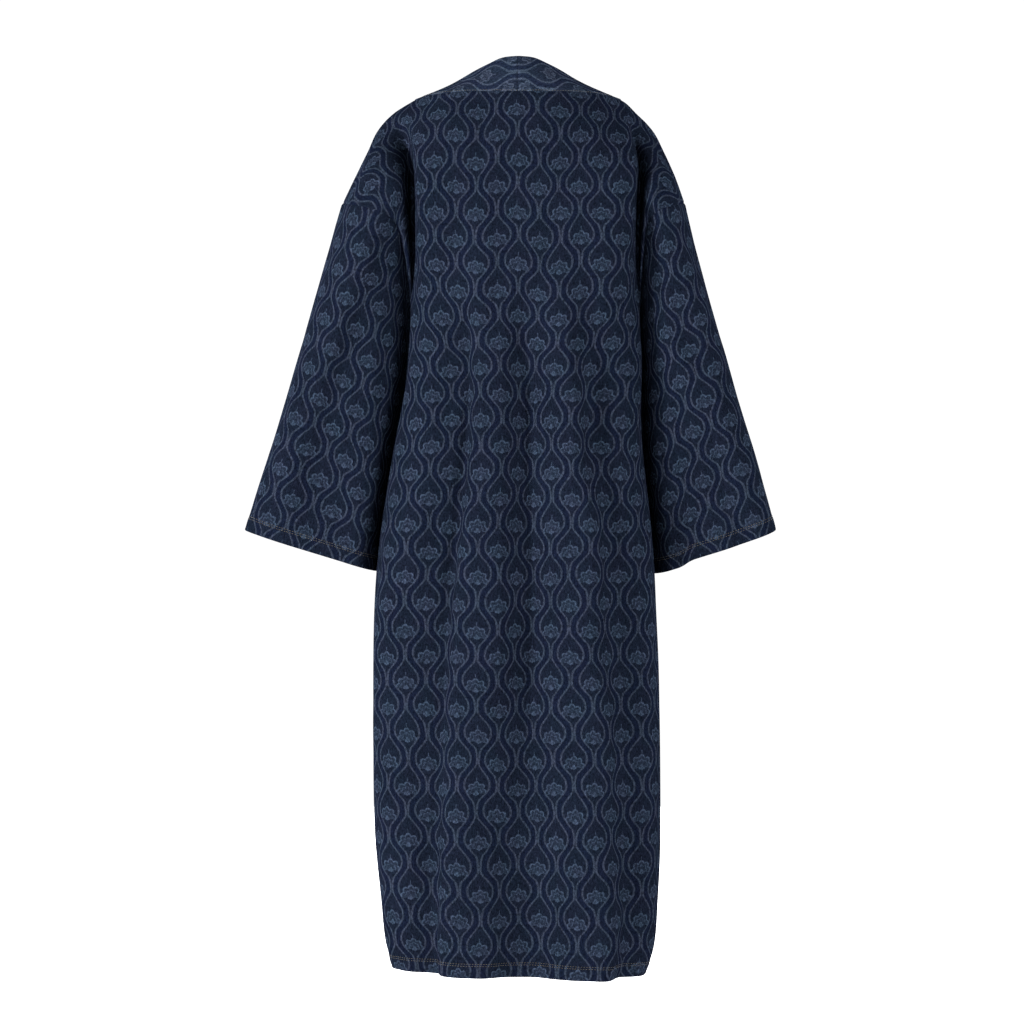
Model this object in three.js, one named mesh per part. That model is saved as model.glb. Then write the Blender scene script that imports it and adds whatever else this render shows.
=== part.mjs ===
// A long open kimono robe in figured denim, as it hangs on a wearer's shoulders.
// Millimetres. +Z is up, +X is the wearer's left and +Y is the wearer's back.
// The origin lies between the shoulders, where the wearer holds the robe up.
// Every piece is a sheet of cloth: a grid of points over its cut, thickened along its normals.
import * as THREE from "three";
import { mergeVertices } from "three/addons/utils/BufferGeometryUtils.js";

// ---- Driving dimensions ----
const CLOTH_THICKNESS = 2.0;
const BAND_THICKNESS = 3.2; // the collar band is folded double
const SEAM_GAP = 0.3;
const SEAM_SHARE = 0.62; // each side's share of the gap, with a little over for slanting seams
const HEM_Z = -1188;
const UNDERARM_Z = -310;
const BAND_CROWN = 2.5; // the band's middle stands this far proud of its edges
// How much further out the arm's crease lies on each side, and how much closer in the
// right shoulder and sleeve hang.
const CREASE_SHIFT = { left: -6, right: 16 };
const RIGHT_IN = { shoulder: 9, sleeve: 16 };

// ---- Grid sizes ----
const BAND_COLUMNS_BACK = 9; // centre back to where the collar seam meets the shoulder
const SHOULDER_COLUMNS = 13; // from there to the armhole
const YOKE_ROWS = 14; // underarm to shoulder
const SKIRT_ROWS = 20; // hem to underarm
const SLEEVE_ROWS = 15;
const SLEEVE_CROWD = 1.35; // more than 1 sets the sleeve's rows closer near the armhole
const BAND_STRIPS = 3;

// ---- The body below the underarm: one row for each level section ----
// half is half its width, back and front its reach from the side seam's plane,
// edge the distance of the front's collar seam from the centre, sway the shift to the left.
const SKIRT = [
  { z: HEM_Z, half: 174, back: 127, front: 117, edge: 75, sway: -1 },
  { z: -1150, half: 185, back: 131, front: 121, edge: 75, sway: -2 },
  { z: -1090, half: 191, back: 131, front: 121, edge: 75, sway: -1 },
  { z: -1000, half: 197, back: 128, front: 120, edge: 75, sway: 1 },
  { z: -850, half: 198, back: 122, front: 117, edge: 75, sway: 2 },
  { z: -700, half: 195, back: 116, front: 114, edge: 75, sway: 4 },
  { z: -600, half: 189, back: 110, front: 110, edge: 76, sway: 3 },
  { z: -500, half: 176, back: 105, front: 107, edge: 78, sway: 1 },
  { z: -400, half: 162, back: 103, front: 105, edge: 81, sway: 0 },
];
const SECTION_POWER = { back: 3.2, front: 2.4 }; // 2 is an ellipse, more is squarer
const HEM_TILT = 0.02; // the hem rises this share of its width towards the wearer's left

// ---- Where the columns of a panel lie, as a share of its half width ----
const SHARES = { inner: 0, blade: 0.3, corner: 0.53, valley: 0.68, crest: 0.84, seam: 1 };

// ---- The body above the underarm: one row for each line across the cloth ----
// The cloth runs over the back or chest to its corner, tucks into the valley beside the
// arm, comes over the arm at the crest and ends in the armhole seam.
const BACK_YOKE = [
  {
    z: -300, inner: [0, 104, -300], blade: [78, 100, -300], corner: [130, 76, -300],
    valley: [149, 44, -302], crest: [154, 20, -306], seam: [152, 0, UNDERARM_Z],
  },
  {
    z: -205, inner: [0, 104, -205], blade: [80, 100, -205], corner: [134, 81, -205],
    valley: [149, 28, -208], crest: [156, 42, -214], seam: [161, 31, -222],
  },
  {
    z: -140, inner: [0, 101, -140], blade: [82, 97, -140], corner: [138, 79, -140],
    valley: [151, 22, -145], crest: [162, 56, -152], seam: [172, 55, -163],
  },
  {
    z: -80, inner: [0, 95, -80], blade: [82, 91, -80], corner: [141, 72, -78],
    valley: [154, 21, -84], crest: [172, 64, -106], seam: [195, 69, -143],
  },
  {
    z: -25, inner: [0, 85, -25], blade: [80, 79, -26], corner: [143, 46, -24],
    valley: [162, 15, -32], crest: [197, 41, -68], seam: [225, 49, -134],
  },
];
const FRONT_YOKE = [
  {
    z: -300, inner: [86, -103, -300], blade: [112, -96, -300], corner: [135, -72, -300],
    valley: [149, -42, -302], crest: [154, -20, -306], seam: [152, 0, UNDERARM_Z],
  },
  {
    z: -205, inner: [98, -97, -205], blade: [118, -89, -205], corner: [136, -71, -205],
    valley: [150, -44, -208], crest: [153, -34, -214], seam: [161, -29, -222],
  },
  {
    z: -140, inner: [112, -86, -140], blade: [126, -79, -140], corner: [140, -65, -140],
    valley: [153, -36, -145], crest: [161, -41, -152], seam: [172, -52, -163],
  },
  {
    z: -80, inner: [125, -68, -82], blade: [134, -62, -82], corner: [146, -51, -82],
    valley: [158, -30, -86], crest: [176, -49, -108], seam: [195, -64, -143],
  },
  {
    z: -25, inner: [138, -38, -28], blade: [147, -33, -29], corner: [156, -26, -32],
    valley: [168, -18, -38], crest: [198, -34, -70], seam: [225, -45, -134],
  },
];
const SHOULDER_Z = 20;
const COLLAR_SEAM = [[0, 72, 20], [42, 69, 20.5], [84, 57, 21], [118, 34, 20], [143, 4, 16.5]];
const SHOULDER_SEAM = [
  [143, 4, 16.5], [174, 1, -3], [196, 0, -27], [210, 0, -56], [226, 0, -89], [244, 0, -127],
];

// ---- The sleeves: the opening at the wrist, seen as an ellipse ----
const CUFF = { outer: [376, -8, -581], inner: [190, -12, -637], depth: 51, sag: { left: 3, right: 7 } };
const SLEEVE_POWER = 3.2; // the section at the wrist, as SECTION_POWER
const SLEEVE_CLEAR = { left: 3.2, right: 5 }; // a sleeve springs this far clear of the body
const SLEEVE_TUCK = 2; // and closes on it again by this, lower down
const UNDERARM_STEP = { left: 2, right: 3.2 }; // its lowest point stands off the side seam by this
const SLEEVE_FORWARD = 46; // its inner side swings this far to the front
const SLEEVE_FULL = 7; // it fills out this much between armhole and wrist

// ---- The collar band: from its seam to its free edge, one row for each station ----
// at is 0 at the centre back, 1 at the shoulder and 2 at the hem.
const BAND = [
  { at: 0, to: [0, -21, 51] },
  { at: 0.15, to: [-4, -27, 49] },
  { at: 0.3, to: [-10, -33, 41] },
  { at: 0.55, to: [-20, -42, 26] },
  { at: 0.8, to: [-33, -38, 17] },
  { at: 1, to: [-51, -15, 12] },
  { at: 1.1, to: [-51, -18, 8] },
  { at: 1.25, to: [-53, -14, 5] },
  { at: 1.4, to: [-55, -10, 3] },
  { at: 1.6, to: [-56, -6, 0] },
  { at: 2, to: [-57, -3, 0] },
];

// ---- Folds of the body: valleys, and a ridge of negative depth, that run down it ----
// angle is the direction from the centre back, in degrees, at the top, middle and hem;
// depth is at the middle and the hem; width is the half width in degrees on its left and
// on its right.
const BODY_FOLDS = [
  { name: "left_back", angle: [36, 45, 52], depth: [31, 32], width: [14, 8], from: -150 },
  { name: "centre_back", angle: [-4, -8, -10], depth: [28, 26], width: [12, 17], from: -180 },
  { name: "centre_low", angle: [6, 6, 6], depth: [0, 16], width: [13, 9], from: -680 },
  { name: "right_ridge", angle: [-26, -41, -42], depth: [-17, -16], width: [17, 8], from: -200 },
  { name: "right_back", angle: [-42, -56, -58], depth: [14, 14], width: [9, 6], from: -150 },
  { name: "left_side", angle: [76, 82, 86], depth: [2, 4], width: [4, 4], from: -420 },
  { name: "left_front", angle: [142, 138, 132], depth: [9, 17], width: [8, 8], from: -330 },
  { name: "left_front_side", angle: [112, 110, 106], depth: [5, 12], width: [6, 6], from: -430 },
  { name: "right_front", angle: [-146, -141, -136], depth: [10, 18], width: [8, 8], from: -300 },
  { name: "right_front_side", angle: [-114, -112, -108], depth: [6, 12], width: [6, 6], from: -450 },
];
const FOLD_MIDDLE_Z = -600;
const FOLD_FADE = 260; // a fold reaches its depth this far below its start

// ---- Folds of the sleeves: round is 0 under the arm, 0.5 at the back or front, 1 on top ----
const SLEEVE_FOLDS = [
  { side: 1, face: 1, round: [0.62, 0.5], depth: 8, width: 0.09, middle: 0.5 },
  { side: 1, face: -1, round: [0.6, 0.46], depth: 9, width: 0.1, middle: 0.55 },
  { side: -1, face: 1, round: [0.72, 0.62], depth: 12, width: 0.08, middle: 0.4 },
  { side: -1, face: -1, round: [0.55, 0.45], depth: 9, width: 0.1, middle: 0.5 },
];

// ---- Small helpers ----
const RADIANS = Math.PI / 180;
const mix = (a, b, k) => a + (b - a) * k;
const smooth = (a, b, v) => {
  const k = Math.min(1, Math.max(0, (v - a) / (b - a)));
  return k * k * (3 - 2 * k);
};
const add = (p, q, k = 1) => p.map((v, i) => v + q[i] * k);
const mixPoint = (p, q, k) => p.map((v, i) => mix(v, q[i], k));
const distance = (p, q) => Math.hypot(...p.map((v, i) => v - q[i]));

// A smooth curve through values at rising knots, read at one knot value.
function curve(knots, values, at) {
  const last = knots.length - 1;
  let i = 0;
  while (i < last - 1 && at > knots[i + 1]) i++;
  const span = knots[i + 1] - knots[i];
  const k = (at - knots[i]) / span;
  const slope = (j) => {
    const low = Math.max(0, j - 1);
    const high = Math.min(last, j + 1);
    return values[j].map((_, c) => (values[high][c] - values[low][c]) / (knots[high] - knots[low]));
  };
  const [start, end] = [slope(i), slope(i + 1)];
  const [h1, h2] = [k * k * (3 - 2 * k), k * (1 - k) * (1 - k)];
  const h3 = k * k * (k - 1);
  return values[i].map((v, c) => mix(v, values[i + 1][c], h1) + (start[c] * h2 + end[c] * h3) * span);
}
const even = (points) => points.map((_, i) => i / (points.length - 1));
const along = (points, k) => curve(even(points), points, k);

// ---- The body's surface ----
const NAMES = Object.keys(SHARES);
const KNOTS = Object.values(SHARES);

// A level section of the skirt: face is 1 at the back and -1 at the front.
function skirtPoint(row, face, share) {
  const first = face > 0 ? 0 : Math.asin(row.edge / row.half);
  const angle = mix(first, Math.PI / 2, share);
  const power = 2 / SECTION_POWER[face > 0 ? "back" : "front"];
  const bend = (v) => Math.sign(v) * Math.abs(v) ** power;
  const reach = face > 0 ? row.back : -row.front;
  const x = face > 0 ? row.half * bend(Math.sin(angle)) : frontWidth(row, angle, first);
  return [x, reach * bend(Math.cos(angle)), row.z];
}

// The front's section starts at the collar seam, at the row's own distance from the centre.
function frontWidth(row, angle, first) {
  const bend = (v) => row.half * Math.sin(v) ** (2 / SECTION_POWER.front);
  return bend(angle) + (row.edge - bend(first)) * (1 - smooth(first, Math.PI / 2, angle));
}

function shoulderPoint(face, share) {
  if (face < 0) return along(SHOULDER_SEAM, share);
  if (share <= SHARES.corner) return along(COLLAR_SEAM, share / SHARES.corner);
  return along(SHOULDER_SEAM, (share - SHARES.corner) / (1 - SHARES.corner));
}

const ROW_Z = [...SKIRT.map((row) => row.z), ...BACK_YOKE.map((row) => row.z), SHOULDER_Z];
const SIDE_SEAM = [...SKIRT.map((row) => skirtPoint(row, 1, 1)), BACK_YOKE[0].seam];
const SIDE_Z = ROW_Z.slice(0, SIDE_SEAM.length);

// A point of the left half of the body before its folds: level is a value of ROW_Z.
function plainPoint(face, share, level) {
  const yoke = face > 0 ? BACK_YOKE : FRONT_YOKE;
  const points = [
    ...SKIRT.map((row) => skirtPoint(row, face, share)),
    ...yoke.map((row) => curve(KNOTS, NAMES.map((name) => row[name]), share)),
    shoulderPoint(face, share),
  ];
  const point = curve(ROW_Z, points, level);
  if (level > BACK_YOKE[0].z) return point;
  // Below the underarm, back and front end in the same side seam.
  const ends = [
    ...SIDE_SEAM.slice(0, SKIRT.length),
    ...yoke.map((row) => row.seam),
    SHOULDER_SEAM.at(-1),
  ];
  const shift = add(curve(SIDE_Z, SIDE_SEAM, level), curve(ROW_Z, ends, level), -1);
  return add(point, shift, smooth(SHARES.corner, 1, share));
}

// The depth of all folds of the body at a point, as a distance inwards.
function foldDepth(x, y, z, calm) {
  const angle = Math.atan2(x, y) / RADIANS;
  let depth = 0;
  for (const fold of BODY_FOLDS) {
    const down = Math.min(1, Math.max(0, (fold.from - z) / (fold.from - FOLD_MIDDLE_Z)));
    const below = Math.max(0, (FOLD_MIDDLE_Z - z) / (FOLD_MIDDLE_Z - HEM_Z));
    const [top, middle, hem] = fold.angle;
    const centre = z > FOLD_MIDDLE_Z ? mix(top, middle, down) : mix(middle, hem, below);
    const full = mix(fold.depth[0], fold.depth[1], below);
    const off = (angle - centre) / fold.width[angle > centre ? 0 : 1];
    depth += full * Math.exp(-off * off) * smooth(fold.from, fold.from - FOLD_FADE, z);
  }
  return depth * calm;
}

// The robe doesn't hang evenly: it sways to the left below, and its creases and wrists differ.
function settle([x, y, z]) {
  const skirtZ = SKIRT.map((row) => row.z);
  const [swayed] = curve(skirtZ, SKIRT.map((row) => [row.sway]), Math.min(z, skirtZ.at(-1)));
  const sway = swayed * smooth(-330, -520, z);
  const nearCrease = Math.exp(-(((Math.abs(x) - 155) / 45) ** 2));
  const upper = smooth(-520, -330, z);
  const shift = (x < 0 ? CREASE_SHIFT.right : CREASE_SHIFT.left) * upper * smooth(-5, -95, z);
  const shoulder = RIGHT_IN.shoulder * upper;
  const closer = shoulder * smooth(145, 178, -x) + (RIGHT_IN.sleeve - shoulder) * smooth(222, 265, -x);
  const tilt = HEM_TILT * x * smooth(-800, HEM_Z, z);
  return [x + Math.sign(x) * (shift * nearCrease - closer) + sway, y, z + tilt];
}

// side is 1 on the wearer's left and -1 on the right.
function hangingPoint(face, side, share, level) {
  const [x, y, z] = plainPoint(face, share, level);
  const calmAtSeams = 1 - smooth(0.9, 1, share);
  const calmAtFront = face > 0 ? 1 : smooth(0, 0.12, share);
  const depth = foldDepth(side * x, y, z, calmAtSeams * calmAtFront);
  const length = Math.hypot(x, y * 1.3) || 1;
  return [side * (x - (depth * x) / length), y - (depth * y * 1.3) / length, z];
}
const bodyPoint = (face, side, share, level) => settle(hangingPoint(face, side, share, level));

// ---- Rows and columns of the grids ----
const steps = (count) => Array.from({ length: count + 1 }, (_, i) => i / count);
const SKIRT_LEVELS = steps(SKIRT_ROWS).map((k) => mix(HEM_Z, BACK_YOKE[0].z, k));
const YOKE_LEVELS = steps(YOKE_ROWS).map((k) => mix(BACK_YOKE[0].z, SHOULDER_Z, k));
const LEVELS = [...SKIRT_LEVELS, ...YOKE_LEVELS.slice(1)];
const BACK_SHARES = [
  ...steps(BAND_COLUMNS_BACK).map((k) => k * SHARES.corner),
  ...steps(SHOULDER_COLUMNS).slice(1).map((k) => mix(SHARES.corner, 1, k)),
];
const FRONT_SHARES = steps(SHOULDER_COLUMNS);

// ---- Grids of the pieces: a list of rows of points, before the cloth has a thickness ----
function backGrid() {
  const columns = [
    ...BACK_SHARES.slice(1).reverse().map((share) => [-1, share]),
    ...BACK_SHARES.map((share) => [1, share]),
  ];
  return LEVELS.map((level) => columns.map(([side, share]) => bodyPoint(1, side, share, level)));
}

function frontGrid(side) {
  return LEVELS.map((level) => FRONT_SHARES.map((share) => bodyPoint(-1, side, share, level)));
}

// Shares of the way round a half opening, from under the arm to the top.
function sharesAlong(points) {
  const sums = [0];
  for (let i = 1; i < points.length; i++) {
    sums.push(sums[i - 1] + distance(points[i], points[i - 1]));
  }
  return sums.map((sum) => sum / sums.at(-1));
}

function cuffPoint(side, face, k) {
  const angle = Math.PI * (1 - k);
  const centre = mixPoint(CUFF.outer, CUFF.inner, 0.5);
  const bend = (v) => Math.sign(v) * Math.abs(v) ** (2 / SLEEVE_POWER);
  const point = mixPoint(centre, CUFF.outer, bend(Math.cos(angle)));
  const sag = CUFF.sag[side > 0 ? "left" : "right"] * Math.sin(Math.PI * k ** 0.55);
  return add(point, [0, face * CUFF.depth * bend(Math.sin(angle)), -sag]);
}

function sleevePoint(side, face, start, k, w) {
  const [x, y, z] = start;
  const plain = mixPoint([side * x, y, z], cuffPoint(side, face, k), w);
  const word = side > 0 ? "left" : "right";
  const [inner, turned] = [1 - smooth(0, 0.45, k), 1 - smooth(0, 0.3, k)];
  const swung = 1 - Math.exp(-((w / 0.26) ** 2));
  const step = k === 0 ? UNDERARM_STEP[word] * Math.exp(-w / 0.012) : 0;
  const spring = SLEEVE_CLEAR[word] * (1 - Math.exp(-w / 0.012)) * (1 - 0.4 * w);
  const clear = (spring - SLEEVE_TUCK * swung) * inner + step;
  const forward = SLEEVE_FORWARD * swung * turned;
  let fullness = SLEEVE_FULL * Math.sin(Math.PI * w);
  for (const fold of SLEEVE_FOLDS) {
    if (fold.side !== side || fold.face !== face) continue;
    const off = (k - mix(fold.round[0], fold.round[1], w)) / fold.width;
    const fade = smooth(0, fold.middle, w) * (1 - 0.5 * smooth(fold.middle, 1, w));
    fullness -= fold.depth * Math.exp(-off * off) * fade;
  }
  const out = face * fullness * Math.sin(Math.PI * k) ** 2;
  return [side * (plain[0] + clear), plain[1] + out - forward, plain[2]];
}

// The sleeve's grid runs from the armhole to the wrist, and round from under the arm
// over the back to the top and down the front.
function sleeveGrid(side) {
  const [back, front] = [1, -1].map((face) => {
    const seam = YOKE_LEVELS.map((level) => hangingPoint(face, side, 1, level));
    const round = sharesAlong(seam);
    return seam.map((point, i) => ({ face, point, round: round[i] }));
  });
  const ring = [...back, ...front.slice(1, -1).reverse()];
  const rows = steps(SLEEVE_ROWS).map((k) => k ** SLEEVE_CROWD);
  return rows.map((w) =>
    ring.map(({ face, point, round }) => settle(sleevePoint(side, face, point, round, w))),
  );
}

// The band's grid runs along the collar seam, from the centre back to the hem.
function bandGrid(side) {
  const back = BACK_SHARES.slice(0, BAND_COLUMNS_BACK + 1);
  const backSeam = back.map((share) => ({
    at: share / SHARES.corner,
    point: hangingPoint(1, side, share, SHOULDER_Z),
  }));
  const down = LEVELS.slice(0, -1).reverse();
  const frontSeam = down.map((level) => ({
    at: 1 + (SHOULDER_Z - level) / (SHOULDER_Z - HEM_Z),
    point: hangingPoint(-1, side, 0, level),
  }));
  return [...backSeam, ...frontSeam].map(({ at, point }) => {
    const [x, y, z] = curve(BAND.map((row) => row.at), BAND.map((row) => row.to), at);
    return steps(BAND_STRIPS).map((k) => {
      const crown = BAND_CROWN * 4 * k * (1 - k);
      const [backward, risen] = at < 0.9 ? [crown, 0.3 * crown] : [-crown, 0];
      return settle(add(add(point, [side * x, y, z], k), [0, backward, risen]));
    });
  });
}

// ---- From grids to cloth ----
const key = (point) => point.map((v) => Math.round(v * 20)).join(",");

const vector = (point) => new THREE.Vector3(...point);
const within = (i, count) => Math.min(count - 1, Math.max(0, i));

function normalsOf(grid, closed) {
  const [rows, columns] = [grid.length, grid[0].length];
  const at = (i, j) => {
    const column = closed ? (j + columns) % columns : within(j, columns);
    return vector(grid[within(i, rows)][column]);
  };
  return grid.map((row, i) =>
    row.map((_, j) => {
      const down = at(i + 1, j).sub(at(i - 1, j));
      const across = at(i, j + 1).sub(at(i, j - 1));
      return across.cross(down).normalize();
    }),
  );
}

// Turns a grid's normals to the robe's outside, judged over the whole piece.
function faceOutwards(piece) {
  let sum = 0;
  piece.grid.forEach((row, i) =>
    row.forEach((point, j) => {
      const outward = vector(point).sub(vector(piece.axis(point)));
      sum += outward.normalize().dot(piece.normals[i][j]);
    }),
  );
  if (sum < 0) piece.normals.forEach((row) => row.forEach((normal) => normal.negate()));
}

// The direction from an edge point into its piece, along the cloth.
function inward({ grid, closed }, i, j) {
  const [lastRow, lastColumn] = [grid.length - 1, grid[0].length - 1];
  const inside = [
    i === 0 && [1, j],
    i === lastRow && [lastRow - 1, j],
    !closed && j === 0 && [i, 1],
    !closed && j === lastColumn && [i, lastColumn - 1],
  ].filter(Boolean);
  const sum = new THREE.Vector3();
  for (const [row, column] of inside)
    sum.add(vector(grid[row][column]).sub(vector(grid[i][j])).normalize());
  return inside.length ? sum.normalize() : null;
}

// Where pieces share a seam point, their walls meet squarely on a shared normal,
// and each is drawn back from the others by its share of the seam gap.
function joinSeams(pieces) {
  const seams = new Map();
  for (const piece of pieces)
    piece.grid.forEach((row, i) =>
      row.forEach((point, j) => {
        const into = inward(piece, i, j);
        if (!into) return;
        const id = key(point);
        if (!seams.has(id)) seams.set(id, []);
        seams.get(id).push({ piece, i, j, into, normal: piece.normals[i][j] });
      }),
    );
  const sum = (vectors) => vectors.reduce((total, v) => total.add(v), new THREE.Vector3());
  for (const ends of seams.values()) {
    if (ends.length < 2) continue;
    const normal = sum(ends.map((end) => end.normal)).normalize();
    for (const end of ends) {
      const others = sum(ends.filter((other) => other !== end).map((other) => other.into));
      const apart = end.into.clone().multiplyScalar(ends.length - 1).sub(others);
      const sharpness = ends.length > 2 ? 1 : Math.max(0, end.into.dot(others) + 0.6);
      const share = SEAM_GAP * SEAM_SHARE * (1 + sharpness);
      apart.addScaledVector(normal, -apart.dot(normal)).setLength(share);
      end.moved = add(end.piece.grid[end.i][end.j], apart.toArray());
      end.shared = normal;
    }
    for (const end of ends) {
      end.piece.grid[end.i][end.j] = end.moved;
      end.piece.normals[end.i][end.j] = end.shared.clone();
    }
  }
}

function clothGeometry({ grid, normals, closed, thickness }) {
  const rows = grid.length;
  const columns = grid[0].length;
  const wall = [0.5, -0.5].map((k) =>
    grid.map((row, i) => row.map((point, j) => add(point, normals[i][j].toArray(), k * thickness))),
  );
  const positions = [];
  const quad = (a, b, c, d) => {
    const splitAC = distance(a, c) <= distance(b, d);
    positions.push(...(splitAC ? [a, b, c, a, c, d] : [a, b, d, b, c, d]));
  };
  const [outer, inner] = wall;
  const nextColumn = (j) => (j + 1) % columns;
  for (let i = 0; i + 1 < rows; i++)
    for (let j = 0; j < (closed ? columns : columns - 1); j++) {
      const k = nextColumn(j);
      quad(outer[i][j], outer[i][k], outer[i + 1][k], outer[i + 1][j]);
      quad(inner[i][j], inner[i + 1][j], inner[i + 1][k], inner[i][k]);
    }
  for (let j = 0; j < (closed ? columns : columns - 1); j++) {
    const k = nextColumn(j);
    const last = rows - 1;
    quad(outer[0][j], inner[0][j], inner[0][k], outer[0][k]);
    quad(outer[last][j], outer[last][k], inner[last][k], inner[last][j]);
  }
  if (!closed)
    for (let i = 0; i + 1 < rows; i++) {
      const last = columns - 1;
      quad(outer[i][0], outer[i + 1][0], inner[i + 1][0], inner[i][0]);
      quad(outer[i][last], inner[i][last], inner[i + 1][last], outer[i + 1][last]);
    }
  const geometry = new THREE.BufferGeometry();
  geometry.setAttribute("position", new THREE.Float32BufferAttribute(positions.flat(), 3));
  const merged = mergeVertices(geometry, 1e-4);
  if (signedVolume(merged) < 0) merged.index.array.reverse();
  return merged;
}

function signedVolume(geometry) {
  const { position } = geometry.attributes;
  const corner = (i) => new THREE.Vector3().fromBufferAttribute(position, geometry.index.array[i]);
  let volume = 0;
  for (let i = 0; i < geometry.index.count; i += 3) {
    volume += corner(i).dot(corner(i + 1).cross(corner(i + 2)));
  }
  return volume / 6;
}

// ---- The robe ----
const bodyAxis = ([, , z]) => [0, 0, z];
const sleeveAxis = (side) => ([, , z]) => [side * mix(205, 290, smooth(-125, -610, z)), 8, z - 30];
const SIDES = { left: 1, right: -1 };

const pieces = [{ name: "back", grid: backGrid(), axis: bodyAxis }];
for (const [word, side] of Object.entries(SIDES)) {
  pieces.push({ name: `front_${word}`, grid: frontGrid(side), axis: bodyAxis });
  pieces.push({ name: `sleeve_${word}`, grid: sleeveGrid(side), axis: sleeveAxis(side), closed: true });
  pieces.push({ name: `collar_${word}`, grid: bandGrid(side), axis: bodyAxis, thickness: BAND_THICKNESS });
}

const denim = new THREE.MeshStandardMaterial({ color: 0x1b2a45, roughness: 0.9, metalness: 0 });
const collarDenim = new THREE.MeshStandardMaterial({ color: 0x1e2e4a, roughness: 0.9, metalness: 0 });

for (const piece of pieces) {
  piece.closed ??= false;
  piece.thickness ??= CLOTH_THICKNESS;
  piece.normals = normalsOf(piece.grid, piece.closed);
  faceOutwards(piece);
}
joinSeams(pieces);

const robe = new THREE.Group();
for (const piece of pieces) {
  const material = piece.name.startsWith("collar") ? collarDenim : denim;
  const mesh = new THREE.Mesh(clothGeometry(piece), material);
  mesh.name = piece.name;
  robe.add(mesh);
}

export default robe;
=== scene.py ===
# A long open kimono robe of figured denim, as it hangs on its wearer's shoulders.
# Blender works in metres; the robe's own sizes are in millimetres. +Z is up, +X is the
# wearer's left and +Y is the wearer's back.
import math

import bmesh
import bpy
import numpy as np
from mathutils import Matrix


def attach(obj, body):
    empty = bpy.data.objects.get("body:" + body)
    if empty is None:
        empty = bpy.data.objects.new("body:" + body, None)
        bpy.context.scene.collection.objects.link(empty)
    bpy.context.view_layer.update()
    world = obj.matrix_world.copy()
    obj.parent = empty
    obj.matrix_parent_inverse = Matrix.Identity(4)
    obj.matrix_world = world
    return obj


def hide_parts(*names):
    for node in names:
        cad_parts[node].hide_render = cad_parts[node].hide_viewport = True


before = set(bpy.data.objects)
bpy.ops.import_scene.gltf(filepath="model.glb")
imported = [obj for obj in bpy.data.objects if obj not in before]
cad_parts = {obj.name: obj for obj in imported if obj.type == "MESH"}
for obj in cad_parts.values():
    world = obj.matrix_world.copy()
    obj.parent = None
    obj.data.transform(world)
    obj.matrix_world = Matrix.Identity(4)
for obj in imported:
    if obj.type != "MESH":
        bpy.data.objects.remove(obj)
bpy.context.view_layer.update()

# ---- The camera ----
# It stands behind the robe, level with its middle.
camera = bpy.data.objects.new("camera", bpy.data.cameras.new("camera"))
camera.data.sensor_width = 36
camera.data.lens = 113.8
camera.location = (0.0083, 4.5, -0.556)
camera.rotation_euler = (math.radians(90), 0, math.radians(180))
bpy.context.collection.objects.link(camera)
bpy.context.scene.camera = camera

# ---- The studio ----
# A white room over a plain white floor, with four soft lights turned on the robe: a strong
# one and a weaker one behind it, and two in front of it.
FLOOR_Z = -1.33
FLOOR_HALF = 4.0
ROBE_MIDDLE = (0, 0, -0.6)

bpy.context.scene.view_settings.view_transform = "Standard"
bpy.context.scene.view_settings.look = "None"

world = bpy.data.worlds.new("white_room")
bpy.context.scene.world = world
world.use_nodes = True
world.node_tree.nodes["Background"].inputs["Color"].default_value = (1, 1, 1, 1)
world.node_tree.nodes["Background"].inputs["Strength"].default_value = 1.06


def soft_light(name, place, size, power):
    """A square area light that faces the robe."""
    light = bpy.data.lights.new(name, "AREA")
    light.shape = "RECTANGLE"
    light.size = light.size_y = size
    light.energy = power
    lamp = bpy.data.objects.new(name, light)
    lamp.location = place
    towards = np.array(ROBE_MIDDLE) - np.array(place)
    yaw = math.atan2(-towards[0], towards[1])
    pitch = math.atan2(math.hypot(towards[0], towards[1]), -towards[2])
    lamp.rotation_euler = (pitch, 0, yaw)
    bpy.context.collection.objects.link(lamp)


soft_light("left_light", (4.7, 2.6, -0.2), 1.2, 900)
soft_light("right_light", (-3.6, 3.4, 0.2), 1.6, 385)
soft_light("front_left_light", (2.8, -3.6, 1.4), 2, 500)
soft_light("front_right_light", (-3.4, -3.2, 0.6), 2, 150)

bm = bmesh.new()
bmesh.ops.create_grid(bm, x_segments=1, y_segments=1, size=FLOOR_HALF)
bmesh.ops.translate(bm, verts=bm.verts, vec=(0, 0, FLOOR_Z))
floor = bpy.data.objects.new("floor", bpy.data.meshes.new("floor"))
bm.to_mesh(floor.data)
bm.free()
bpy.context.collection.objects.link(floor)
floor_paint = bpy.data.materials.new("floor_paint")
floor_paint.use_nodes = True
paint = floor_paint.node_tree.nodes["Principled BSDF"]
paint.inputs["Base Color"].default_value = (0.96, 0.96, 0.96, 1)
paint.inputs["Roughness"].default_value = 0.8
floor.data.materials.append(floor_paint)

# ---- The back ----
# One wide panel of figured denim, from the hem over the shoulder blades to the collar seam.
# Its upper corners drop over the arms, where the armhole seams lie, and its hem is turned
# up and sewn twice.
MM = 0.001
HEM, CHEST, SHOULDER = -1188, -300, 20
SECTION_POWER = {1: 3.2, -1: 2.4}  # at the back and the front; 2 is an ellipse, more is squarer
HEM_TILT = 0.02  # the hem rises this share of its width towards the left
CORNER = 0.53  # where the collar seam meets the shoulder, as a share of the half width
CREASE_SHIFT = {"left": -6, "right": 16}  # each valley beside an arm lies this much further out
RIGHT_IN = {"shoulder": 9, "sleeve": 16}  # the right side hangs this much closer
UPPER = (-520, -330)  # the arms hold the cloth out above these heights, and it sways below
VALLEY, VALLEY_REACH = 155, 45  # the valley beside an arm, and how far the cloth moves with it

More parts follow.
